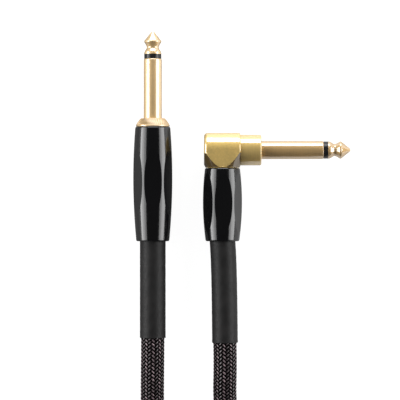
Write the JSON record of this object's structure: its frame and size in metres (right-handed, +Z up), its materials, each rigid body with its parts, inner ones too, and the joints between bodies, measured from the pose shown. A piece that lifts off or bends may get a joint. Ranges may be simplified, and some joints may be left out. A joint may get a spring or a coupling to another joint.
{
  "type": "instrument cable",
  "caption": "Woven instrument cable with a straight and a right-angle 6.35 mm plug, faceted screw-off barrels and shrunk boots, its spare length in a tied hank.",
  "frame": {"origin": "on the surface that the cable lies on, under the middle of the two plugs' and boots' bounding box", "axes": "+Y along both barrels towards the straight plug's tip, +X along the angle plug's shaft, +Z up"},
  "size_m": [0.0761, 0.3574, 0.0341],
  "materials": {
    "gold_plate": "bright gold plate, polished, pale highlights",
    "gold_plate_soft": "satin-bright gold plate, slightly olive",
    "ring_plastic": "smooth black insulator",
    "bush_plastic": "natural nylon",
    "fibre_board": "brown paper-fibre washer",
    "terminal_brass": "stamped sheet brass",
    "liner_plastic": "translucent insulating sleeve",
    "black_gloss": "high-gloss black",
    "boot_shrink": "matte dark grey heat-shrink",
    "woven_braid": "woven textile braid of black and mauve-grey yarns",
    "core_plastic": "natural polyethylene insulation",
    "tinned_wire": "twisted tinned copper",
    "solder": "dull solder",
    "tie_webbing": "black hook-and-loop strap"
  },
  "bodies": {
    "plugs_and_cable": {"straight_tip": "gold_plate", "straight_tip_insulator": "ring_plastic", "straight_rod_insulator": "bush_plastic", "straight_sleeve": "gold_plate", "straight_rear_washer": "fibre_board", "straight_tip_terminal": "terminal_brass", "straight_ground_clamp": "terminal_brass", "straight_boot": "boot_shrink", "straight_cable_jacket": "woven_braid", "straight_cable_core": "core_plastic", "straight_shield_tail": "tinned_wire", "straight_solder": "solder", "angle_tip": "gold_plate", "angle_tip_insulator": "ring_plastic", "angle_rod_insulator": "bush_plastic", "angle_sleeve": "gold_plate", "angle_rear_washer": "fibre_board", "angle_tip_terminal": "terminal_brass", "angle_ground_clamp": "terminal_brass", "angle_boot": "boot_shrink", "angle_cable_jacket": "woven_braid", "angle_cable_core": "core_plastic", "angle_shield_tail": "tinned_wire", "angle_solder": "solder", "straight_shoulder": "gold_plate", "angle_collar": "gold_plate_soft", "angle_head": "gold_plate_soft", "straight_lead": "woven_braid", "angle_lead": "woven_braid", "cable_hank": "woven_braid", "cable_tie": "tie_webbing"},
    "straight_liner_body": {"straight_liner": "liner_plastic"},
    "straight_barrel_body": {"straight_barrel": "black_gloss"},
    "angle_liner_body": {"angle_liner": "liner_plastic"},
    "angle_barrel_body": {"angle_barrel": "black_gloss"}
  },
  "joints": [
    {"name": "straight_barrel_travel", "type": "slide", "parent": "plugs_and_cable", "child": "straight_liner_body", "axis": [0, -1, 0], "range_m": [0, 0.00601]},
    {"name": "straight_barrel_turn", "type": "hinge", "parent": "straight_liner_body", "child": "straight_barrel_body", "pos_m": [-0.03118, -0.00887, 0.00659], "axis": [0, -1, 0], "range_deg": [0, 2880]},
    {"name": "angle_barrel_travel", "type": "slide", "parent": "plugs_and_cable", "child": "angle_liner_body", "axis": [0, -1, 0], "range_m": [0, 0.00601]},
    {"name": "angle_barrel_turn", "type": "hinge", "parent": "angle_liner_body", "child": "angle_barrel_body", "pos_m": [-0.00678, -0.00887, 0.00631], "axis": [0, -1, 0], "range_deg": [0, 2880]}
  ],
  "couplings": [
    {"joint": "straight_barrel_travel", "follows": "straight_barrel_turn", "m_per_rad": 0.00011937},
    {"joint": "angle_barrel_travel", "follows": "angle_barrel_turn", "m_per_rad": 0.00011937}
  ]
}
